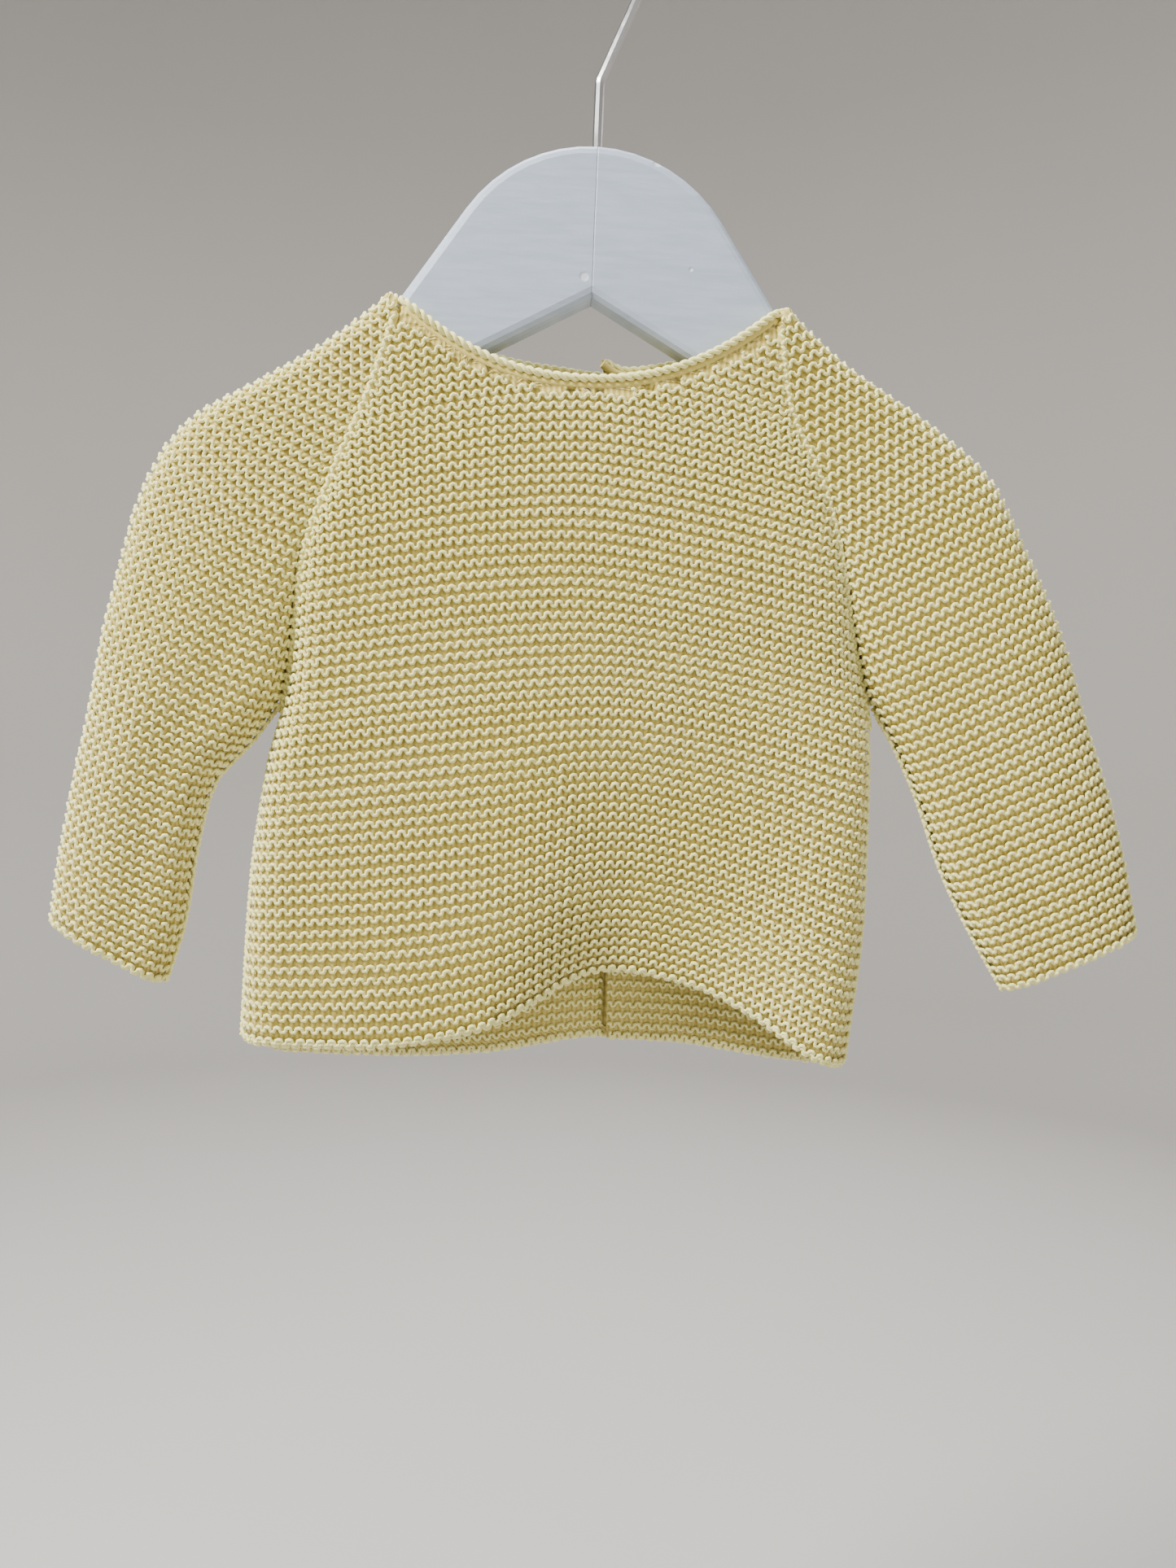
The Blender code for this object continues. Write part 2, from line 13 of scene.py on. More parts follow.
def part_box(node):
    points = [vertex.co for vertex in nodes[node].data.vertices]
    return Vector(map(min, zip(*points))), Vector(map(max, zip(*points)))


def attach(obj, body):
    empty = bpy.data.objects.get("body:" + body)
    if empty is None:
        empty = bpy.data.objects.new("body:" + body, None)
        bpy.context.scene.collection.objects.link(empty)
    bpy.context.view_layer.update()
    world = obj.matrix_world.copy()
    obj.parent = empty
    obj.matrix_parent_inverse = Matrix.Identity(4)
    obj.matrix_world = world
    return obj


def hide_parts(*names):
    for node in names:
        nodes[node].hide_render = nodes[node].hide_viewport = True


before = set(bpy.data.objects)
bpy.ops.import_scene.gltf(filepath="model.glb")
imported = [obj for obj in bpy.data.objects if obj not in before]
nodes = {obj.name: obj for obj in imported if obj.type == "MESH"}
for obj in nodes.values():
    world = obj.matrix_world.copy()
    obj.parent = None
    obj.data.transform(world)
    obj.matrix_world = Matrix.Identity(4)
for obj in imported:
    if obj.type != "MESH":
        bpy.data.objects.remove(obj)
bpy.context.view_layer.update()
mm = 0.001


def added(name, data):
    thing = bpy.data.objects.new(name, data)
    bpy.context.scene.collection.objects.link(thing)
    return thing


# the camera, the lights and the plain room

viewpoint = {
    "aim": (5.5, -4.0, -308.0),
    "distance": 415.0,
    "azimuth": -3.0,
    "elevation": 2.0,
    "roll": 2.3,         # the picture leans clockwise
    "lens": 27.0,
    "sensor": 36.0,
    "clip": (0.01, 20.0),  # nearest and farthest, in metres
}


def makeCamera():
    azimuth, elevation, roll = (math.radians(viewpoint[k]) for k in ("azimuth", "elevation", "roll"))
    back = Vector((math.sin(azimuth) * math.cos(elevation), -math.cos(azimuth) * math.cos(elevation),
                   math.sin(elevation)))
    right = Vector((math.cos(azimuth), math.sin(azimuth), 0.0))
    up = back.cross(right)
    turned = math.cos(roll) * right + math.sin(roll) * up
    upright = math.cos(roll) * up - math.sin(roll) * right
    place = (Vector(viewpoint["aim"]) + back * viewpoint["distance"]) * mm
    camera = added("camera", bpy.data.cameras.new("camera"))
    camera.data.lens = viewpoint["lens"]
    camera.data.sensor_width = viewpoint["sensor"]
    camera.data.clip_start, camera.data.clip_end = viewpoint["clip"]
    camera.matrix_world = Matrix((
        (turned.x, upright.x, back.x, place.x),
        (turned.y, upright.y, back.y, place.y),
        (turned.z, upright.z, back.z, place.z),
        (0, 0, 0, 1)))
    bpy.context.scene.camera = camera


lamps = [                # name, place, size, watts, colour
    ("key", (-980.0, -620.0, 820.0), 460.0, 74.0, (1.0, 0.985, 0.95)),
    ("top", (-150.0, 60.0, 1150.0), 560.0, 28.0, (0.97, 0.985, 1.0)),
    ("fill", (1100.0, -900.0, -250.0), 900.0, 5.0, (1.0, 0.97, 0.93)),
    ("rear", (500.0, 1300.0, 500.0), 900.0, 16.0, (1.0, 1.0, 1.0)),
]
lampsFace = (0.0, 0.0, -250.0)    # the sweater's chest
room = {
    "floor": -900.0,
    "radius": 2300.0,
    "cove": 500.0,       # radius of the bend from floor to wall
    "height": 1900.0,
    "sides": 96,
    "coveSteps": 10,
    "light": (0.50, 0.48, 0.455),
    "deep": (0.475, 0.455, 0.435),
    "cloud": 3.0,        # noise scale, per metre
    "air": (0.86, 0.88, 0.92),
    "airStrength": 0.20,
}


def makeLights():
    target = Vector(lampsFace) * mm
    for name, place, size, watts, colour in lamps:
        light = bpy.data.lights.new(name, "AREA")
        light.shape = "DISK"
        light.size = size * mm
        light.energy = watts
        light.color = colour
        lamp = added(name, light)
        lamp.location = Vector(place) * mm
        lamp.rotation_euler = (target - lamp.location).to_track_quat("-Z", "Y").to_euler()
    world = bpy.data.worlds.new("air")
    bpy.context.scene.world = world
    world.use_nodes = True
    sky = world.node_tree.nodes["Background"]
    sky.inputs["Color"].default_value = (*room["air"], 1.0)
    sky.inputs["Strength"].default_value = room["airStrength"]


# nodes: a socket that adds Math nodes, and a sheet that makes every other node

class Socket:
    def __init__(self, sheet, out):
        self.sheet = sheet
        self.out = out

    def combined(self, operation, a, b):
        return self.sheet.node("ShaderNodeMath", {"operation": operation}, {0: a, 1: b})

    def __add__(self, other):
        return self.combined("ADD", self, other)

    def __sub__(self, other):
        return self.combined("SUBTRACT", self, other)

    def __rsub__(self, other):
        return self.combined("SUBTRACT", other, self)

    def __mul__(self, other):
        return self.combined("MULTIPLY", self, other)

    __radd__ = __add__
    __rmul__ = __mul__


class Sheet:
    def __init__(self, tree):
        self.tree = tree

    def node(self, kind, settings, values, output=0):
        made = self.tree.nodes.new(kind)
        for key, value in settings.items():
            if key == "stops":
                for stop, (place, shade) in zip(made.color_ramp.elements, value):
                    stop.position = place
                    stop.color = (shade, shade, shade, 1.0)
            else:
                setattr(made, key, value)
        for key, value in values.items():
            if isinstance(value, Socket):
                self.tree.links.new(value.out, made.inputs[key])
            else:
                made.inputs[key].default_value = value
        return Socket(self, made.outputs[output])

    def maths(self, operation, value):
        return self.node("ShaderNodeMath", {"operation": operation}, {0: value})


class MaterialSheet(Sheet):
    def __init__(self, name, fixed):           # fixed values are the same all over the surface
        self.material = bpy.data.materials.new(name)
        self.material.use_nodes = True
        super().__init__(self.material.node_tree)
        self.shader = self.tree.nodes["Principled BSDF"]
        for key, value in fixed.items():
            self.shader.inputs[key].default_value = value

    def place(self):
        return self.node("ShaderNodeTexCoord", {}, {}, "Object")

    def axes(self, vector):
        first = self.node("ShaderNodeSeparateXYZ", {}, {0: vector})
        return [Socket(self, out) for out in first.out.node.outputs]

    def noise(self, scale, detail=3.0, stretch=(1, 1, 1), roughness=0.55):
        spot = self.node("ShaderNodeMapping", {}, {"Vector": self.place(), "Scale": stretch})
        return self.node("ShaderNodeTexNoise", {}, {"Vector": spot, "Scale": scale, "Detail": detail,
                                                    "Roughness": roughness})

    def ramp(self, value, low, high):          # each end is a place and a shade
        return self.node("ShaderNodeValToRGB", {"stops": (low, high)}, {"Fac": value})

    def mix(self, share, first, second):
        return self.node("ShaderNodeMix", {"data_type": "RGBA"},
                         {0: share, 6: as4(first), 7: as4(second)}, 2)

    def bump(self, height, strength, distance, normal=None):
        values = {"Height": height, "Strength": strength, "Distance": distance * mm}
        if normal:
            values["Normal"] = normal
        return self.node("ShaderNodeBump", {}, values)

    def feed(self, name, value):
        self.tree.links.new(value.out, self.shader.inputs[name])


def as4(colour):
    return colour if isinstance(colour, Socket) else (*colour, 1.0)


cotton = {
    "light": (0.93, 0.905, 0.46),
    "deep": (0.87, 0.83, 0.31),
    # painted shade, for the hollows of the fibre bump
    "paintedFibreShade": (0.67, 0.60, 0.15),
    # painted shade, for the recessed rows under the loops
    "groundPaintedShadePale": (0.67, 0.56, 0.16),
    "groundPaintedShadeDeep": (0.41, 0.315, 0.07),
    "patch": 14.0,       # noise scales, per metre
    "fibre": 2600.0,
    "strand": 700.0,
}


def yarnMaterial():
    sheet = MaterialSheet("cotton yarn", {"Sheen Weight": 0.22, "Sheen Roughness": 0.45})
    patch = sheet.ramp(sheet.noise(cotton["patch"], 2.0), (0.35, 0.0), (0.65, 1.0))
    fibre = sheet.noise(cotton["fibre"], 2.0)
    strand = sheet.noise(cotton["strand"], 3.0)
    tone = sheet.mix(patch * 0.5 + strand * 0.5, cotton["light"], cotton["deep"])
    # painted shade: a darker colour where the fibre noise is low, which is where the fibre bump is hollow
    sheet.feed("Base Color", sheet.mix(sheet.ramp(fibre, (0.30, 0.55), (0.62, 0.0)), tone, cotton["paintedFibreShade"]))
    sheet.feed("Roughness", fibre * 0.15 + 0.78)
    soft = sheet.bump(strand, 0.45, 0.35)
    sheet.feed("Normal", sheet.bump(fibre, 0.5, 0.16, soft))
    return sheet.material


def groundMaterial():
    # the recessed knit rows between the ridges: their legs stand across the courses. Their colours are
    # painted shade, darker than the yarn
    sheet = MaterialSheet("cotton ground in painted shade", {"Roughness": 0.95, "Sheen Weight": 0.15})
    across, down, _ = sheet.axes(sheet.node("ShaderNodeUVMap", {"uv_map": "stitches"}, {}))
    legs = sheet.maths("COSINE", across * (4 * math.pi))       # two to a stitch
    rows = sheet.maths("COSINE", down * (2 * math.pi))
    fibre = sheet.noise(cotton["fibre"], 2.0)
    # painted shade, darker still in bands across the legs and along the courses
    shade = sheet.ramp(legs * 0.3 + rows * 0.2 + fibre * 0.4 + 0.2, (0.1, 1.0), (0.75, 0.0))
    sheet.feed("Base Color", sheet.mix(shade, cotton["groundPaintedShadePale"], cotton["groundPaintedShadeDeep"]))
    height = rows * 0.5 + legs * 0.25 + fibre * 0.3
    sheet.feed("Normal", sheet.bump(height, 0.8, 0.5))
    return sheet.material


paint = {
    # white and shade are painted darker and bluer than white paint is: painted shade over the whole board
    "white": (0.41, 0.47, 0.565),
    "shade": (0.355, 0.415, 0.515),
    "joint": (0.30, 0.31, 0.34),
    "rubbed": (0.86, 0.88, 0.90),
    "jointWidth": 0.28,
    "jointShare": 0.42,  # how strongly the joint shows
    "jointWander": 0.6,
    "brush": 60.0,       # noise scales, per metre
    "grain": 420.0,
    "wander": 30.0,
    "marks": [           # x, z and radius of small dents and rubs in the paint
        (20.8, -92.4, 1.5),
        (-51.8, -121.2, 1.2),
        (-2.9, -132.6, 1.8),
        (34.0, -128.0, 0.8),
    ],
}


def paintMaterial():
    sheet = MaterialSheet("white painted wood", {"Coat Weight": 0.12, "Coat Roughness": 0.25})
    x, _, z = sheet.axes(sheet.place())
    brush = sheet.noise(paint["brush"], 4.0, (1.0, 1.0, 7.0))
    grain = sheet.noise(paint["grain"], 3.0, (1.0, 1.0, 0.25))
    # brush streaks, between two colours that both carry painted shade
    tone = sheet.mix(sheet.ramp(brush, (0.35, 0.0), (0.68, 1.0)), paint["white"], paint["shade"])
    # the joint between the two halves of the board
    wander = sheet.noise(paint["wander"], 2.0) * (paint["jointWander"] * mm) - paint["jointWander"] / 2 * mm
    joint = sheet.node("ShaderNodeMapRange", {"clamp": True},
                       {"Value": sheet.maths("ABSOLUTE", x + wander), "From Min": 0.0,
                        "From Max": paint["jointWidth"] * mm, "To Min": paint["jointShare"], "To Max": 0.0})
    spots = []
    for markX, markZ, radius in paint["marks"]:
        aside, above = x - markX * mm, z - markZ * mm
        spread = aside * aside + above * above
        spots.append(sheet.node(
            "ShaderNodeMapRange", {"clamp": True, "interpolation_type": "SMOOTHSTEP"},
            {"Value": spread * (1.0 / (radius * mm) ** 2) + grain * 0.6, "From Min": 0.4, "From Max": 1.3,
             "To Min": 1.0, "To Max": 0.0}))
    marks = sum(spots)
    sheet.feed("Base Color", sheet.mix(marks * 0.45, sheet.mix(joint, tone, paint["joint"]), paint["rubbed"]))
    sheet.feed("Roughness", brush * 0.12 + grain * 0.08 + 0.32)
    relief = sheet.bump(brush * 0.7 + grain * 0.3, 0.35, 0.35)
    sheet.feed("Normal", sheet.bump(1.0 - joint * 2.0 - marks, 0.6, 0.35, relief))
    return sheet.material


chrome = {
    "bright": (0.80, 0.80, 0.82),
    "hazy": (0.64, 0.65, 0.68),
    "drawn": 900.0,      # noise scales, per metre
    "haze": 90.0,
}


def chromeMaterial():
    sheet = MaterialSheet("chromed wire", {"Metallic": 1.0})
    drawn = sheet.noise(chrome["drawn"], 2.0, (1.0, 1.0, 0.05))
    haze = sheet.noise(chrome["haze"], 3.0)
    sheet.feed("Base Color", sheet.mix(haze, chrome["bright"], chrome["hazy"]))
    sheet.feed("Roughness", drawn * 0.08 + haze * 0.10 + 0.06)
    sheet.feed("Normal", sheet.bump(drawn, 0.12, 0.05))
    return sheet.material


button = {
    "count": 4,
    "light": (0.86, 0.82, 0.60),
    "deep": (0.76, 0.70, 0.46),
    "cloud": 260.0,      # noise scale, per metre
    "thread": 0.35,      # radius
    "threadReach": 1.9,  # half the length of each arm of the cross
    "threadRise": 0.55,
    "threadSunk": 0.35,  # how far its ends lie under the button's face
}


def buttonMaterial():
    sheet = MaterialSheet("pale yellow button", {"Coat Weight": 0.4, "Coat Roughness": 0.08})
    cloud = sheet.noise(button["cloud"], 3.0, (1.0, 1.0, 2.5))
    sheet.feed("Base Color", sheet.mix(cloud, button["light"], button["deep"]))
    sheet.feed("Roughness", cloud * 0.2 + 0.2)
    sheet.feed("Normal", sheet.bump(cloud, 0.15, 0.1))
    return sheet.material


def wallMaterial():
    sheet = MaterialSheet("plain wall", {"Roughness": 0.95})
    sheet.feed("Base Color", sheet.mix(sheet.noise(room["cloud"], 2.0), room["light"], room["deep"]))
    return sheet.material


def makeRoom():
    sides, straight = room["sides"], room["radius"] - room["cove"]
    profile = [(straight, room["floor"])]
    for k in range(1, room["coveSteps"] + 1):
        turn = math.pi / 2 * k / room["coveSteps"]
        profile.append((room["radius"] - room["cove"] * (1 - math.sin(turn)),
                        room["floor"] + room["cove"] * (1 - math.cos(turn))))
    profile.append((room["radius"], room["height"]))
    verts = [(0.0, 0.0, room["floor"] * mm)]
    for radius, height in profile:
        for k in range(sides):
            angle = 2 * math.pi * k / sides
            verts.append((radius * math.cos(angle) * mm, radius * math.sin(angle) * mm, height * mm))
    faces = [(0, 1 + k, 1 + (k + 1) % sides) for k in range(sides)]
    for ring in range(len(profile) - 1):
        for k in range(sides):
            a, b = 1 + ring * sides + k, 1 + ring * sides + (k + 1) % sides
            faces.append((a, a + sides, b + sides, b))
    mesh = bpy.data.meshes.new("studio_floor")
    mesh.from_pydata(verts, [], faces)
    mesh.shade_smooth()
    mesh.materials.append(wallMaterial())
    added("studio_floor", mesh)


# lines and surfaces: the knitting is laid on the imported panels, which are read from the frame

rayStart = 60.0          # rays look at a panel from this far in front of it or behind it
lookAway = {-1: Vector((0, 1, 0)), 1: Vector((0, -1, 0))}
knit = {
    "courses": 67,       # ridges from neck to hem or cuff
    "stitch": 3.7,       # along a course
    "neckStretch": 0.45,  # more at the neck
    "neckReach": 0.35,
    "steps": 7,          # points of yarn per stitch
    "sides": 5,          # of the yarn's section
    "yarn": 0.67,        # radius
    "loop": 0.90,        # height of a loop above its course's middle
    "overhang": 0.30,
    "swell": 0.20,       # how far the loops' tops and bottoms stand out
    "lean": 0.20,        # how much further the tops do
    "depth": -0.45,      # the yarn's middle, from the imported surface
    "insideDepth": -0.15,
    "neckRoom": 2.1,     # from the neck's edge to the first loops
    "uneven": 1.0,       # how far a hand knitter's loops stray
    "cloud": 330.0,      # noise scale of that, per metre
    "seed": 7,
    "spacing": 0.9,      # between the points that a course is first laid with
    "fewest": 4,         # of those points in a course
}
castOn = {"yarn": 0.9, "depth": -1.1, "loop": 0.75}      # a thicker edge at the hem and the cuffs
castOnRaised = 1.1       # above the hem
castOnCuff = 0.995       # share of the sleeve's length
ground = {
    "depth": -1.30,      # the recessed cloth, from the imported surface
    "wall": 0.45,
    "rows": 46,
    "weld": 0.02,        # points closer than this are one
    "sliver": 0.005,
}


def triangles(name):
    mesh = nodes[name].data
    mesh.calc_loop_triangles()
    spots = np.array([v.co for v in mesh.vertices]) / mm
    return spots[np.array([t.vertices for t in mesh.loop_triangles])]


# where the triangles' edges cross a plane, on the other axis of XZ
def crossings(tris, axis, level):
    other = 2 - axis
    starts = tris.reshape(-1, 3)
    ends = np.roll(tris, -1, axis=1).reshape(-1, 3)
    a, b = starts[:, axis] - level, ends[:, axis] - level
    hit = (a * b < 0)
    share = a[hit] / (a[hit] - b[hit])
    return starts[hit, other] + (ends[hit, other] - starts[hit, other]) * share


# the outline's least or greatest place on the other axis, at each level
def outline(tris, axis, levels, pick):
    found = [(level, crossings(tris, axis, level)) for level in levels]
    return np.array([(level, pick(spots)) for level, spots in found if len(spots)])


def surfaceOf(tris):
    spots = [Vector(p) for p in tris.reshape(-1, 3)]
    return BVHTree.FromPolygons(spots, [(3 * k, 3 * k + 1, 3 * k + 2) for k in range(len(tris))])


def runOf(points):       # the length along a line, at each of its points
    return np.concatenate([[0.0], np.cumsum(np.linalg.norm(np.diff(points, axis=0), axis=1))])


def readAt(places, run, values):         # a line's values at other places along it
    return np.stack([np.interp(places, run, values[:, k]) for k in range(values.shape[1])], axis=1)


def unit(vectors):
    return vectors / np.linalg.norm(vectors, axis=1, keepdims=True)


def eased(values, passes):
    for _ in range(passes):
        padded = np.concatenate([values[:1], values, values[-1:]])
        values = (padded[:-2] + 2 * padded[1:-1] + padded[2:]) / 4
    return values


# points and outward directions where rays from a side meet the surface, for places in XZ
def laidOn(surface, spots, side):
    points, facing, kept = [], [], []
    for k, (x, z) in enumerate(spots):
        place, normal, _, _ = surface.ray_cast(Vector((x, side * rayStart, z)), lookAway[side])
        if place is not None:
            points.append(place)
            facing.append(normal if normal.y * side > 0 else -normal)
            kept.append(k)
    return np.array(points).reshape(-1, 3), np.array(facing).reshape(-1, 3), kept


def lineShare(line, share):
    run = runOf(line)
    return readAt([share * run[-1]], run, line)[0]


def evenly(points, facing, spacing, pointPasses=6, facingPasses=10):
    run = runOf(points)
    places = np.linspace(0, run[-1], max(int(round(run[-1] / spacing)), knit["fewest"]) + 1)
    return (eased(readAt(places, run, points), pointPasses),
            unit(eased(readAt(places, run, facing), facingPasses)), places)


def resampled(route, spacing):
    run = runOf(route)
    places = np.linspace(0, run[-1], int(run[-1] / spacing) + 2)
    return readAt(places, run, route), places


def cornersOf(tris):     # the outline's four corners, seen from the front
    spots = tris.reshape(-1, 3)[:, [0, 2]]
    ways = {"topLeft": (-1, 1), "topRight": (1, 1), "bottomLeft": (-1, -1), "bottomRight": (1, -1)}
    return {name: spots[np.argmax(spots @ np.array(way))] for name, way in ways.items()}


def sideLine(tris, top, bottom, pick, margin=1.0, step=1.5):
    found = outline(tris, 2, np.arange(top[1] - margin, bottom[1] + margin, -step), pick)
    return np.concatenate([[top], found[:, ::-1], [bottom]])


def panelSide(name, way):                # -1 left, 1 right
    tris = triangles(name)
    corners = cornersOf(tris)
    where = "Left" if way < 0 else "Right"
    return sideLine(tris, corners["top" + where], corners["bottom" + where], np.min if way < 0 else np.max)


# places across a panel, close together where it turns at its sides
def acrossSteps(width, turn=16.0, fine=9, coarse=2.2, edge=0.06):
    near = turn * (1 - np.cos(np.linspace(0, math.pi / 2, fine))) + edge
    count = max(int((width - 2 * turn) / coarse), knit["fewest"])
    middle = np.linspace(turn, width - turn, count)[1:-1]
    return np.concatenate([near, middle, width - near[::-1]])


def stretched(steps, count):             # the same spread of places, with a fixed number of them
    return np.interp(np.linspace(0, 1, count), np.linspace(0, 1, len(steps)), steps)


def filledIn(laid, columns):             # a ray that missed is filled in from its neighbours
    spots, facing, kept = laid
    places = np.arange(columns)
    return readAt(places, kept, spots), unit(readAt(places, kept, facing))


# the body's panels; t is the share of the way from the neck to the hem

body = {
    "archAt": (0.0, 0.15, 0.3, 0.6, 0.85, 1.0),
    "frontArch": (13.0, 14.0, 15.0, 13.0, 7.0, 0.0),     # how far the courses rise at the middle
    "backArch": (3.0, 3.0, 3.0, 2.0, 1.0, 0.0),
    "archPower": 1.5,
    "foldStart": {-1: 0.40, 1: 0.55},    # where the courses begin to follow the hem, front and back
    "foldPower": 1.7,
    "neckWide": 64.0,
    "hemMargins": (0.4, 0.3),            # the hem is read this far inside a panel's two ends
    "lap": 3.0,          # how far the inner layer's loops reach under the outer layer
    "lapAt": 20.0,       # x where one half's hem takes over from the other's
    "edgeRoom": 0.2,
    "insideHidden": (0.10, 0.86),        # between these the inside of the back can't be seen
    "insideMargin": 6.0,
    "insideLap": 20.0,
    "columns": 72,
    "neckTrim": 0.3,     # the ground stops this far inside the neck and the hem
    "hemTrim": 0.35,
    "topRaise": 2.6,     # its first row stands up under the chain
}


class Panel:
    def __init__(self, name, side, left, right):
        tris = triangles(name)
        own = cornersOf(tris)
        self.side = side                 # -1 front, 1 back
        self.surface = surfaceOf(tris)
        self.left, self.right = left, right
        self.ownLeft = np.array([own["topLeft"], own["bottomLeft"]])
        self.ownRight = np.array([own["topRight"], own["bottomRight"]])
        low, high = body["hemMargins"]
        xs = np.arange(tris[..., 0].min() + low, tris[..., 0].max() - high, 1.0)
        self.hem = outline(tris, 0, xs, np.min)
        self.wholeHem = self.hem
        self.neck = outline(tris, 0, xs[np.abs(xs) < body["neckWide"]], np.max)

    def neckAt(self, x):
        return np.where(np.abs(x) < body["neckWide"], np.interp(x, self.neck[:, 0], self.neck[:, 1]), np.inf)

    def course(self, t, x):
        left, right = lineShare(self.left, t), lineShare(self.right, t)
        share = (x - left[0]) / (right[0] - left[0])
        corners = self.left[-1], self.right[-1]
        hemX = corners[0][0] + (corners[1][0] - corners[0][0]) * share
        lift = np.interp(hemX, self.wholeHem[:, 0], self.wholeHem[:, 1])
        lift -= corners[0][1] + (corners[1][1] - corners[0][1]) * share
        start = body["foldStart"][self.side]
        growth = max((t - start) / (1 - start), 0) ** body["foldPower"]
        table = body["frontArch"] if self.side < 0 else body["backArch"]
        arch = np.interp(t, body["archAt"], table) * (1 - np.abs(2 * share - 1) ** body["archPower"])
        return left[1] + (right[1] - left[1]) * share + lift * growth + arch


def stitchWidth(t):
    return knit["stitch"] + knit["neckStretch"] * max(1 - t / knit["neckReach"], 0)


# one course's points, a fixed number to a stitch, with its directions; none if it is too short
def yarnLine(spots, facing, run, zero, pitch):
    phase = (run - zero) / pitch
    steps = knit["steps"]
    first, last = math.ceil(phase[0] * steps), math.floor(phase[-1] * steps)
    if last - first < steps:
        return []
    stitches = np.arange(first, last + 1) / steps
    place = readAt(stitches, phase, spots)
    outward = unit(readAt(stitches, phase, facing))
    along = unit(np.gradient(place, axis=0))
    upward = unit(np.cross(outward, along))
    upward *= np.sign(upward[:, 2:].mean() + 1e-9)
    return [(place, outward, along, upward, stitches)]


# a course's yarn lines: one, or two where the neck parts it
def bodyCourse(panel, t, span, side=None, raised=0.0):
    fromX, toX = span
    xs = fromX + acrossSteps(toX - fromX)
    zs = panel.course(t, xs) + raised
    kept = zs < panel.neckAt(xs) - knit["neckRoom"]
    lines = []
    for part in np.split(np.arange(len(xs)), np.where(np.diff(kept))[0] + 1):
        if not kept[part[0]] or len(part) < knit["fewest"]:
            continue
        spots, facing, _ = laidOn(panel.surface, zip(xs[part], zs[part]), side or panel.side)
        if len(spots) < knit["fewest"]:
            continue
        spots, facing, run = evenly(spots, facing, knit["spacing"])
        if spots[0, 0] < 0 < spots[-1, 0]:             # stitches are counted from the middle line
            zero = np.interp(0.0, spots[:, 0], run)
        elif abs(spots[0, 0]) < abs(spots[-1, 0]):
            zero = run[0] - spots[0, 0]
        else:
            zero = run[-1] - spots[-1, 0]
        lines.extend(yarnLine(spots, facing, run, zero, stitchWidth(t)))
    return lines


def groundRow(spots, facing, t):
    run = runOf(spots)
    return spots, facing, (run - run[-1] / 2) / stitchWidth(t)


def bodyGround(panel, spans):
    rows = []
    for k, t in enumerate(np.linspace(0, 1, ground["rows"])):
        fromX, toX = spans(t)
        xs = fromX + stretched(acrossSteps(toX - fromX), body["columns"])
        zs = panel.course(t, xs)
        top = panel.neckAt(xs) - body["neckTrim"]
        clipped = zs > top
        zs = np.where(clipped, top, zs)
        zs = np.maximum(zs, np.interp(xs, panel.hem[:, 0], panel.hem[:, 1]) + body["hemTrim"])
        spots, facing = filledIn(laidOn(panel.surface, zip(xs, zs), panel.side), body["columns"])
        if k == 0:
            spots[:, 2] += np.where(clipped, body["topRaise"], 0.0)
        rows.append(groundRow(spots, facing, t))
    return rows


# sleeves: rings round each tube, from its inner edge over the outer fold and back

sleeve = {
    "bend": {"left": (1.15, 1.45, 1.7, 1.35, 1.0), "right": (1.0, 1.05, 1.1, 1.05, 1.0)},
    "bendAt": (0.0, 0.4, 0.65, 0.85, 1.0),
    "turn": 12.0,        # width of the turn at each edge, and its greatest share of the sleeve
    "turnShare": 0.4,
    "reach": (0.002, 0.998),             # shares of the width that the yarn and the ground cover
    "groundReach": (0.004, 0.996),
    "groundLength": (0.002, 0.996),
    "columns": 40,
    "topRaise": 2.4,
}


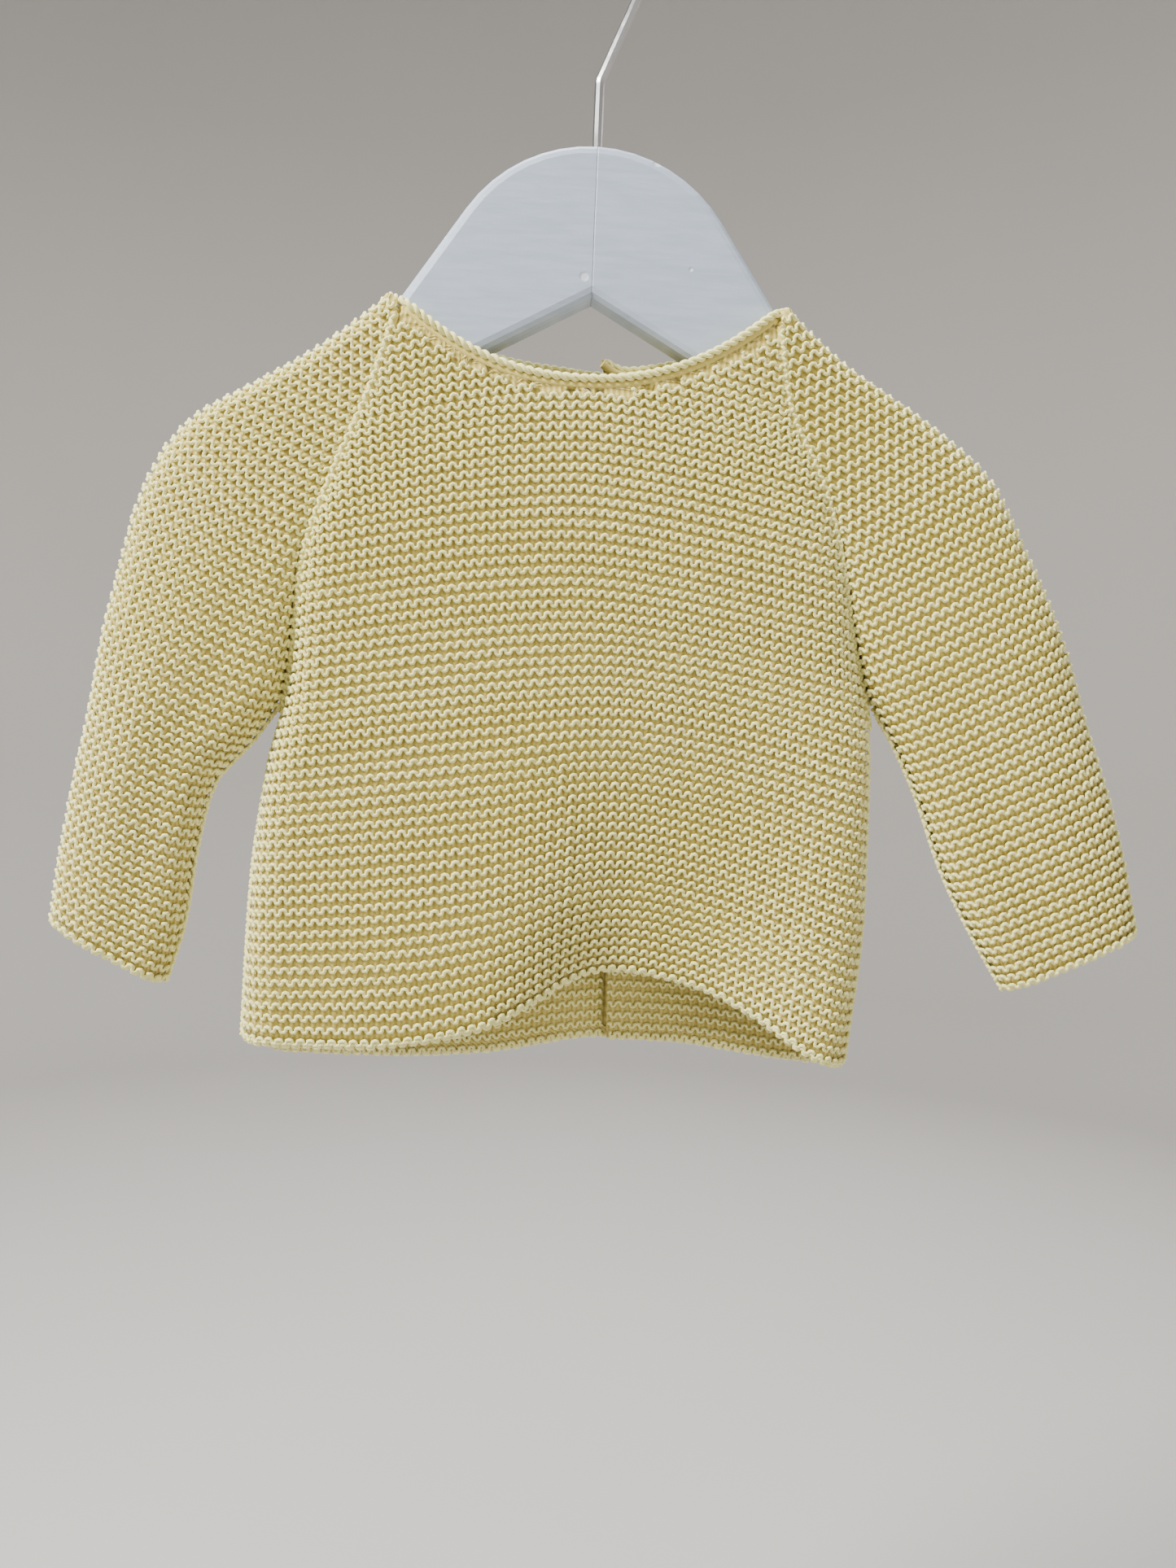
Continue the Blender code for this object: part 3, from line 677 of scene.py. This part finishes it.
class Tube:
    def __init__(self, name, way):
        tris = triangles(name)
        spots = tris.reshape(-1, 3)[:, [0, 2]]
        self.surface = surfaceOf(tris)
        self.side = "left" if way < 0 else "right"
        foldTop = spots[np.argmax(spots[:, 1])]
        foldEnd = spots[np.argmax(spots[:, 0] * way)]
        innerTop = spots[np.argmin(spots[:, 0] * way)]
        innerEnd = spots[np.argmin(spots[:, 1])]
        outer, inside = (np.max, np.min) if way > 0 else (np.min, np.max)
        self.fold = sideLine(tris, foldTop, foldEnd, outer)
        self.inner = sideLine(tris, innerTop, innerEnd, inside)

    def steps(self, t, reach):
        width = np.linalg.norm(lineShare(self.inner, t) - lineShare(self.fold, t))
        return np.clip(acrossSteps(width, min(sleeve["turn"], sleeve["turnShare"] * width)) / width, *reach)

    def ring(self, t, steps):            # its back half and its front half
        inner, fold = lineShare(self.inner, t), lineShare(self.fold, t)
        bend = np.interp(t, sleeve["bendAt"], sleeve["bend"][self.side])
        xs = inner[0] + (fold[0] - inner[0]) * steps
        zs = inner[1] + (fold[1] - inner[1]) * steps ** bend
        return [laidOn(self.surface, zip(xs, zs), side) for side in (1, -1)]

    def course(self, t):
        (back, backFacing, _), (front, frontFacing, _) = self.ring(t, self.steps(t, sleeve["reach"]))
        if min(len(back), len(front)) < knit["fewest"]:
            return []
        spots = np.concatenate([back, front[::-1]])
        facing = np.concatenate([backFacing, frontFacing[::-1]])
        zero = np.linalg.norm(np.diff(back, axis=0), axis=1).sum()       # stitches start at the fold
        spots, facing, run = evenly(spots, facing, knit["spacing"])
        return yarnLine(spots, facing, run, zero, stitchWidth(t))

    def rows(self):
        columns = sleeve["columns"]
        rows = []
        for k, t in enumerate(np.linspace(*sleeve["groundLength"], ground["rows"])):
            halves = self.ring(t, stretched(self.steps(t, sleeve["groundReach"]), columns))
            (back, backFacing), (front, frontFacing) = [filledIn(half, columns) for half in halves]
            spots = np.concatenate([back, front[::-1]])
            facing = np.concatenate([backFacing, frontFacing[::-1]])
            if k == 0:
                spots[:, 2] += sleeve["topRaise"]
            rows.append(groundRow(spots, facing, t))
        return rows


# the knitting itself: a wave of yarn along every course

yarnInputs = {           # the tree's sizes, and the values above that set them
    "Yarn Radius": "yarn",
    "Loop Height": "loop",
    "Overhang": "overhang",
    "Swell": "swell",
    "Lean": "lean",
    "Depth": "depth",
    "Unevenness": "uneven",
}


def triangleCount(mesh):
    return sum(len(p.vertices) - 2 for p in mesh.polygons)


def plainMesh(holder, name):
    graph = bpy.context.evaluated_depsgraph_get()
    mesh = bpy.data.meshes.new_from_object(holder.evaluated_get(graph))
    mesh.name = name
    bpy.data.objects.remove(holder)
    return mesh


def linesMesh(name, lines):
    counts = [len(line[0]) for line in lines]
    starts = np.concatenate([[0], np.cumsum(counts)[:-1]])
    edges = np.concatenate([np.stack([np.arange(n - 1), np.arange(1, n)], axis=1) + s
                            for n, s in zip(counts, starts)])
    places = np.concatenate([line[0] for line in lines]) * mm
    mesh = bpy.data.meshes.new(name)
    mesh.vertices.add(len(places))
    mesh.vertices.foreach_set("co", places.astype(np.float32).ravel())
    mesh.edges.add(len(edges))
    mesh.edges.foreach_set("vertices", edges.astype(np.int32).ravel())
    for k, key in enumerate(("outward", "along", "upward")):
        data = np.concatenate([line[k + 1] for line in lines]).astype(np.float32)
        mesh.attributes.new(key, "FLOAT_VECTOR", "POINT").data.foreach_set("vector", data.ravel())
    phase = np.concatenate([line[4] for line in lines]).astype(np.float32)
    mesh.attributes.new("phase", "FLOAT", "POINT").data.foreach_set("value", phase)
    mesh.update()
    return mesh


def yarnTree():
    tree = bpy.data.node_groups.new("garter yarn", "GeometryNodeTree")
    tree.is_modifier = True
    kinds = {"Geometry": "NodeSocketGeometry", **{name: "NodeSocketFloat" for name in yarnInputs},
             "Seed": "NodeSocketInt", "Yarn Material": "NodeSocketMaterial"}
    for name, kind in kinds.items():
        tree.interface.new_socket(name, in_out="INPUT", socket_type=kind)
    tree.interface.new_socket("Geometry", in_out="OUTPUT", socket_type="NodeSocketGeometry")
    sheet = Sheet(tree)
    entry = tree.nodes.new("NodeGroupInput")
    given = {name: Socket(sheet, entry.outputs[name]) for name in kinds}

    def stored(key, kind):
        return sheet.node("GeometryNodeInputNamedAttribute", {"data_type": kind}, {"Name": key})

    def scaled(vector, amount):
        return sheet.node("ShaderNodeVectorMath", {"operation": "SCALE"}, {0: vector, "Scale": amount})

    def joined(a, b):
        return sheet.node("ShaderNodeVectorMath", {"operation": "ADD"}, {0: a, 1: b})

    turn = stored("phase", "FLOAT") * (2 * math.pi)
    twice = turn * 2.0
    height = sheet.maths("COSINE", turn) * given["Loop Height"]
    sideways = sheet.maths("SINE", twice) * given["Overhang"]
    swell = sheet.maths("COSINE", twice) * given["Swell"]
    lean = sheet.maths("COSINE", turn) * given["Lean"]
    depth = swell + lean + given["Depth"]
    move = joined(scaled(stored("along", "FLOAT_VECTOR"), sideways),
                  scaled(stored("upward", "FLOAT_VECTOR"), height))
    move = joined(move, scaled(stored("outward", "FLOAT_VECTOR"), depth))
    cloud = sheet.node("ShaderNodeTexNoise", {"noise_dimensions": "4D"},
                       {"W": given["Seed"], "Scale": knit["cloud"], "Detail": 1.0}, "Color")
    move = joined(move, scaled(joined(cloud, (-0.5, -0.5, -0.5)), given["Unevenness"]))
    curve = sheet.node("GeometryNodeMeshToCurve", {}, {0: given["Geometry"]})
    curve = sheet.node("GeometryNodeSetPosition", {}, {"Geometry": curve, "Offset": move})
    ring = sheet.node("GeometryNodeCurvePrimitiveCircle", {"mode": "RADIUS"},
                      {"Resolution": knit["sides"], "Radius": given["Yarn Radius"]})
    whole = sheet.node("GeometryNodeCurveToMesh", {}, {0: curve, 1: ring, "Fill Caps": True})
    whole = sheet.node("GeometryNodeSetShadeSmooth", {}, {"Geometry": whole})
    whole = sheet.node("GeometryNodeRealizeInstances", {}, {"Geometry": whole})
    whole = sheet.node("GeometryNodeSetMaterial", {},
                       {"Geometry": whole, "Material": given["Yarn Material"]})
    wayOut = tree.nodes.new("NodeGroupOutput")
    tree.links.new(whole.out, wayOut.inputs[0])
    return tree


def setInput(modifier, tree, name, value):
    for item in tree.interface.items_tree:
        if item.item_type == "SOCKET" and item.in_out == "INPUT" and item.name == name:
            modifier[item.identifier] = value


# turns course lines into one plain mesh of yarn; sizes are those that differ from the rest
def knitted(name, lines, tree, material, sizes):
    holder = added(name + "_lines", linesMesh(name + "_lines", lines))
    modifier = holder.modifiers.new("garter yarn", "NODES")
    modifier.node_group = tree
    values = {**knit, **sizes}
    for inputName, key in yarnInputs.items():
        setInput(modifier, tree, inputName, values[key] * mm)
    setInput(modifier, tree, "Seed", knit["seed"])
    setInput(modifier, tree, "Yarn Material", material)
    mesh = plainMesh(holder, name)
    for key in ("phase", "outward", "along", "upward"):
        if key in mesh.attributes:
            mesh.attributes.remove(mesh.attributes[key])
    print(name, len(lines), "courses", triangleCount(mesh), "triangles")
    return added(name, mesh)


# a thin closed wall under the loops, from rows of points, directions and phases; its UV counts stitches
def groundCloth(name, rows, material):
    outer = np.array([spots + facing * ground["depth"] for spots, facing, _ in rows])
    inner = np.array([spots + facing * (ground["depth"] - ground["wall"]) for spots, facing, _ in rows])
    down, across = outer.shape[:2]
    size = down * across
    verts = np.concatenate([outer.reshape(-1, 3), inner.reshape(-1, 3)]) * mm
    index = np.arange(size).reshape(down, across)
    a, b, c, d = index[:-1, :-1], index[:-1, 1:], index[1:, 1:], index[1:, :-1]
    faces = np.stack([a, b, c, d], axis=-1).reshape(-1, 4)
    faces = np.concatenate([faces, faces[:, ::-1] + size])
    rim = np.concatenate([index[0], index[1:, -1], index[-1, -2::-1], index[-2:0:-1, 0]])
    after = np.roll(rim, -1)
    faces = np.concatenate([faces, np.stack([after, rim, rim + size, after + size], axis=1)])
    mesh = bpy.data.meshes.new(name)
    mesh.from_pydata(verts.tolist(), [], faces.tolist())
    layer = mesh.uv_layers.new(name="stitches")
    phases = np.array([phase for _, _, phase in rows])
    ridges = np.repeat(np.linspace(0, knit["courses"], down)[:, None], across, axis=1)
    flat = np.stack([phases.ravel(), ridges.ravel()], axis=1)
    loops = np.zeros(len(mesh.loops), np.int32)
    mesh.loops.foreach_get("vertex_index", loops)
    layer.data.foreach_set("uv", flat[loops % size].astype(np.float32).ravel())
    work = bmesh.new()
    work.from_mesh(mesh)
    bmesh.ops.remove_doubles(work, verts=work.verts, dist=ground["weld"] * mm)
    bmesh.ops.dissolve_degenerate(work, dist=ground["sliver"] * mm, edges=work.edges)
    bmesh.ops.recalc_face_normals(work, faces=work.faces)
    work.to_mesh(mesh)
    work.free()
    mesh.shade_smooth()
    mesh.materials.append(material)
    return added(name, mesh)


# strands that follow a route: the neck's chain, the seams and the buttons' thread

def strands(name, routes, radius, material, sides=6):
    curve = bpy.data.curves.new(name, "CURVE")
    curve.dimensions = "3D"
    curve.bevel_depth = radius * mm
    curve.bevel_resolution = (sides - 4) // 2
    curve.use_fill_caps = True
    for route in routes:
        spline = curve.splines.new("POLY")
        spline.points.add(len(route) - 1)
        flat = np.concatenate([np.asarray(route) * mm, np.ones((len(route), 1))], axis=1)
        spline.points.foreach_set("co", flat.astype(np.float32).ravel())
    mesh = plainMesh(added(name, curve), name)
    mesh.shade_smooth()
    mesh.materials.clear()
    mesh.materials.append(material)
    print(name, triangleCount(mesh), "triangles")
    return added(name, mesh)


# strands wound round a route
def twisted(route, count, coil, pitch, spacing=0.45, coarse=1.5, passes=4):
    route, run = resampled(eased(resampled(route, coarse)[0], passes), spacing)
    ahead = unit(np.gradient(route, axis=0))
    first = unit(np.cross(ahead, np.array([0.0, 0.0, 1.0])))
    second = np.cross(ahead, first)
    wound = []
    for k in range(count):
        angle = (2 * math.pi * (run / pitch + k / count))[:, None]
        wound.append(route + coil * (np.cos(angle) * first + np.sin(angle) * second))
    return wound


neck = {
    "rise": 2.5,         # the chain's middle above the panels' rims
    "below": 0.7,        # where the rays meet the panels, under the rims
    "inset": 0.7,
    "ends": (1.0, 0.5),  # how far inside the back's two edges the chain starts and stops
    "corner": 1.0,       # and how far inside the neck's width it leaves each panel
    "points": 60,
    "strand": 0.76,
    "coil": 0.78,
    "count": 2,
    "stitch": 3.2,
    "core": 1.45,        # radius of the cloth's own rim under the chain
    "coreDrop": 2.2,
    "coreInset": 1.6,
    "coreSpacing": 1.0,
}


def neckRoute(front, backLeft, backRight, tubes):
    def stretch(panel, fromX, toX):
        xs = np.linspace(fromX, toX, neck["points"])
        zs = panel.neckAt(xs)
        spots, _, kept = laidOn(panel.surface, zip(xs, zs - neck["below"]), panel.side)
        spots[:, 1] -= panel.side * neck["inset"]
        spots[:, 2] = zs[kept] + neck["rise"]
        return spots

    over = [np.array([[tube.fold[0][0], 0.0, tube.fold[0][1] + neck["rise"]]]) for tube in tubes]
    widest = body["neckWide"] - neck["corner"]
    return np.concatenate([
        stretch(backRight, backRight.ownLeft[0][0] + neck["ends"][0], widest), over[1],
        stretch(front, widest, -widest), over[0],
        stretch(backLeft, -widest, backLeft.ownRight[0][0] - neck["ends"][1])])


seam = {
    "raglan": (0.95, 3.9, -0.75),    # sway, length of a wave and depth of its strand
    "edge": (0.55, 3.9, -0.15),
    "slant": 0.35,       # share of the sway by which a strand also moves along its seam
    "swell": 0.35,       # how far it swells in and out
    "strand": 0.66,
    "spacing": 0.5,
    "core": 1.9,         # radius of the closed seam under the strands
    "coreSides": 8,
    "coreSpacing": 1.5,
    "sunk": -2.3,
    "shoulder": -0.4,
    "shoulderSpacing": 1.0,
    "inset": 0.5,        # where the rays meet the panel, inside its side
    "between": 0.9,      # from there to the middle of the seam
    "tilt": 0.3,         # how far a raglan strand leans with the cloth
    "top": 0.01,         # share of the side line where the raglan seams start
    "underarm": 0.55,    # share of the side line where the sleeve ends
    "sleeveFrom": 0.56,  # share of the sleeve's inner line where it leaves the body
}


def edgeRoute(line, fromShare, way, count=200):
    places = np.array([lineShare(line, s) for s in np.linspace(fromShare, 1.0, count)])
    spots = np.stack([places[:, 0], np.zeros(len(places)), places[:, 1]], axis=1)
    spots, _, _ = evenly(spots, spots, seam["spacing"])
    return spots, np.tile([float(way), 0.0, 0.0], (len(spots), 1))


def raglanRoute(panel, line, way, count=160):
    places = np.array([lineShare(line, s) for s in np.linspace(seam["top"], seam["underarm"], count)])
    places[:, 0] -= way * seam["inset"]
    spots, facing, _ = laidOn(panel.surface, places, panel.side)
    spots, facing, _ = evenly(spots, facing, seam["spacing"])
    spots[:, 0] += way * seam["between"]
    return spots, unit(facing * seam["tilt"] + np.array([0.0, float(panel.side), 0.0]))


# a seam's strand, which sways from side to side along its route
def wavy(route, facing, sway, pitch, depth):
    run = runOf(route)
    ahead = unit(np.gradient(route, axis=0))
    aside = np.cross(facing, ahead)
    turn = 2 * math.pi * run / pitch
    return (route + aside * (sway * np.sin(turn))[:, None]
            + ahead * (seam["slant"] * sway * np.sin(2 * turn))[:, None]
            + facing * (depth + seam["swell"] * np.cos(2 * turn))[:, None])


# the crossed thread that holds a button
def threadOf(name, points=9):
    low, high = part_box(name)
    middle = np.array((low + high) / 2 / mm)
    spots = np.array([v.co for v in nodes[name].data.vertices]) / mm - middle
    _, axes = np.linalg.eigh(spots.T @ spots)
    face = axes[:, 0] * np.sign(axes[1, 0])            # the button's thin direction, outwards
    across, along = axes[:, 1], axes[:, 2]
    turn = np.linspace(-1, 1, points)[:, None]
    height = (spots @ face).max() - button["threadSunk"] + button["threadRise"] * (1 - turn ** 4)
    return [middle + (across + along * other) / math.sqrt(2) * turn * button["threadReach"] + face * height
            for other in (1, -1)]


def finish(piece):
    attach(piece, "root")
    return piece


def main():
    makeCamera()
    makeLights()
    makeRoom()
    yarn = yarnMaterial()
    under = groundMaterial()
    tree = yarnTree()
    print("room, camera and materials")

    left, right = panelSide("front", -1), panelSide("front", 1)
    backLeftLine, backRightLine = panelSide("back_left", -1), panelSide("back_right", 1)
    front = Panel("front", -1, left, right)
    backLeft = Panel("back_left", 1, backLeftLine, backRightLine)
    backRight = Panel("back_right", 1, backLeftLine, backRightLine)
    backLeft.wholeHem = backRight.wholeHem = np.concatenate([
        backLeft.hem[backLeft.hem[:, 0] < body["lapAt"]], backRight.hem[backRight.hem[:, 0] > body["lapAt"]]])
    tubes = [Tube("sleeve_left", -1), Tube("sleeve_right", 1)]

    def frontSpan(t):
        return lineShare(left, t)[0], lineShare(right, t)[0]

    def backLeftSpan(t):
        return lineShare(backLeftLine, t)[0], lineShare(backLeft.ownRight, t)[0] - body["edgeRoom"]

    def backRightSpan(t):                # as far as it shows
        return lineShare(backLeft.ownRight, t)[0] - body["lap"], lineShare(backRightLine, t)[0]

    def wholeRightSpan(t):               # with what lies under the other half
        return lineShare(backRight.ownLeft, t)[0] + body["edgeRoom"], lineShare(backRightLine, t)[0]

    shares = (np.arange(knit["courses"]) + 0.5) / knit["courses"]
    upper, lower, backLeftLines, backRightLines, insideLines = [], [], [], [], []
    for t in shares:
        (upper if t < 0.5 else lower).extend(bodyCourse(front, t, frontSpan(t)))
        backLeftLines.extend(bodyCourse(backLeft, t, backLeftSpan(t)))
        backRightLines.extend(bodyCourse(backRight, t, backRightSpan(t)))
        if not body["insideHidden"][0] <= t <= body["insideHidden"][1]:
            (leftFrom, leftTo), (rightFrom, rightTo) = backLeftSpan(t), wholeRightSpan(t)
            insideLines.extend(bodyCourse(
                backLeft, t, (leftFrom + body["insideMargin"], leftTo - body["insideLap"]), -1))
            insideLines.extend(bodyCourse(backRight, t, (rightFrom, rightTo - body["insideMargin"]), -1))
    sleeveLines = [[line for t in shares for line in tube.course(t)] for tube in tubes]
    edges = []
    for panel, span in ((front, frontSpan), (backLeft, backLeftSpan), (backRight, wholeRightSpan)):
        edges.extend(bodyCourse(panel, 1.0, span(1.0), raised=castOnRaised))
    for tube in tubes:
        edges.extend(tube.course(castOnCuff))
    print("courses laid")

    laid = {             # each piece's courses, and the sizes in which its yarn differs
        "front_yarn_upper": (upper, {}),
        "front_yarn_lower": (lower, {}),
        "back_left_yarn": (backLeftLines, {}),
        "back_right_yarn": (backRightLines, {}),
        "back_inside_yarn": (insideLines, {"depth": knit["insideDepth"]}),
        "sleeve_left_yarn": (sleeveLines[0], {}),
        "sleeve_right_yarn": (sleeveLines[1], {}),
        "cast_on_edges": (edges, castOn),
    }
    pieces = {name: knitted(name, lines, tree, yarn, sizes) for name, (lines, sizes) in laid.items()}

    # the recessed cloth under the loops is coloured in painted shade
    grounds = {
        "front": bodyGround(front, frontSpan),
        "back_left": bodyGround(backLeft, backLeftSpan),
        "back_right": bodyGround(backRight, wholeRightSpan),
        "sleeve_left": tubes[0].rows(),
        "sleeve_right": tubes[1].rows(),
    }
    for node, rows in grounds.items():
        finish(groundCloth(node + "_ground", rows, under))
        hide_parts(node)
    print("ground laid")

    route = neckRoute(front, backLeft, backRight, tubes)
    wound = twisted(route, neck["count"], neck["coil"], neck["count"] * neck["stitch"])
    chain = finish(strands("neck_chain", wound, neck["strand"], yarn))
    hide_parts("neck_edging")
    rim = resampled(route, neck["coreSpacing"])[0]
    rim[:, 2] -= neck["coreDrop"]
    rim[:, 1] -= np.sign(rim[:, 1]) * np.minimum(np.abs(rim[:, 1]), neck["coreInset"])
    # the neck's rim is coloured in the ground's painted shade
    pieces["neck_rim"] = strands("neck_rim", [rim], neck["core"], under, seam["coreSides"])

    seams, cores = [], []
    for panel, line, way in ((front, left, -1), (front, right, 1), (backLeft, backLeftLine, -1),
                             (backRight, backRightLine, 1)):
        spots, facing = raglanRoute(panel, line, way)
        seams.append(wavy(spots, facing, *seam["raglan"]))
        cores.append(resampled(spots + facing * seam["sunk"], seam["coreSpacing"])[0])
    for k, tube in enumerate(tubes):     # over each shoulder, from the front seam to the back one
        top = np.array([tube.fold[0][0], 0.0, tube.fold[0][1] + seam["shoulder"]])
        shoulder = np.stack([cores[k][0], top, cores[k + 2][0]])
        cores.append(resampled(shoulder, seam["shoulderSpacing"])[0])
    pieces["raglan_seams"] = strands("raglan_seams", seams, seam["strand"], yarn)
    # the seams' cores are coloured in the ground's painted shade
    pieces["raglan_cores"] = strands("raglan_cores", cores, seam["core"], under, seam["coreSides"])
    edgeLines = ((left, seam["underarm"], -1), (right, seam["underarm"], 1),
                 (tubes[0].inner, seam["sleeveFrom"], 1), (tubes[1].inner, seam["sleeveFrom"], -1))
    edgeSeams = [wavy(*edgeRoute(line, fromShare, way), *seam["edge"]) for line, fromShare, way in edgeLines]
    pieces["edge_seams"] = strands("edge_seams", edgeSeams, seam["strand"], yarn)
    for piece in pieces.values():
        finish(piece)

    buttons = ["button_%d" % k for k in range(1, button["count"] + 1)]
    threads = [route for name in buttons for route in threadOf(name)]
    finish(strands("button_thread", threads, button["thread"], yarn))

    materials = {"hanger_board": paintMaterial(), "hanger_hook": chromeMaterial(),
                 **dict.fromkeys(buttons, buttonMaterial())}
    for node, material in materials.items():
        nodes[node].data.materials.clear()
        nodes[node].data.materials.append(material)
    shown = [o for o in bpy.data.objects if o.type == "MESH" and not o.hide_render]
    print("triangles in all", sum(triangleCount(o.data) for o in shown))


main()
